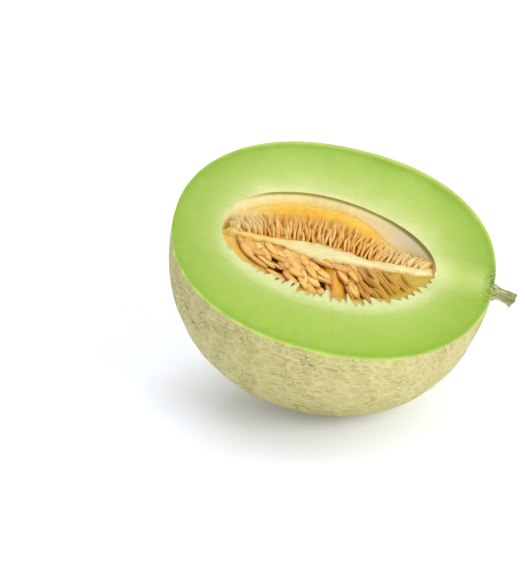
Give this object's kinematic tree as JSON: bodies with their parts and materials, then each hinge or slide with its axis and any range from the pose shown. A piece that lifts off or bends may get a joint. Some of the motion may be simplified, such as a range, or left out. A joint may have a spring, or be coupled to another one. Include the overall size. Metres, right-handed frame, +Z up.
{
  "type": "muskmelon half",
  "caption": "Half of a green-fleshed muskmelon cut lengthwise: netted rind, flat cut face, open seed cavity with seed beds and pale core, and a short ribbed stem stub.",
  "frame": {"origin": "middle of the small flat spot under the fruit, on the surface it rests on", "axes": "+Z up; +X towards the stem end, in the fruit's long plane; -Y the near side, which the cut face is tipped towards"},
  "size_m": [0.1561, 0.1502, 0.096],
  "materials": {
    "flesh_and_rind": "moist green flesh, paler towards the cavity, under a thin tan corky netted rind",
    "stem": "dry ribbed grey-green stalk",
    "core": "moist cream placenta tissue",
    "seed_pulp": "wet cream-orange seeds in amber pulp"
  },
  "bodies": {
    "root": {"fruit_half": "flesh_and_rind", "stem": "stem", "placenta_core": "core", "seed_bed_far": "seed_pulp", "seed_bed_near": "seed_pulp"}
  },
  "joints": []
}
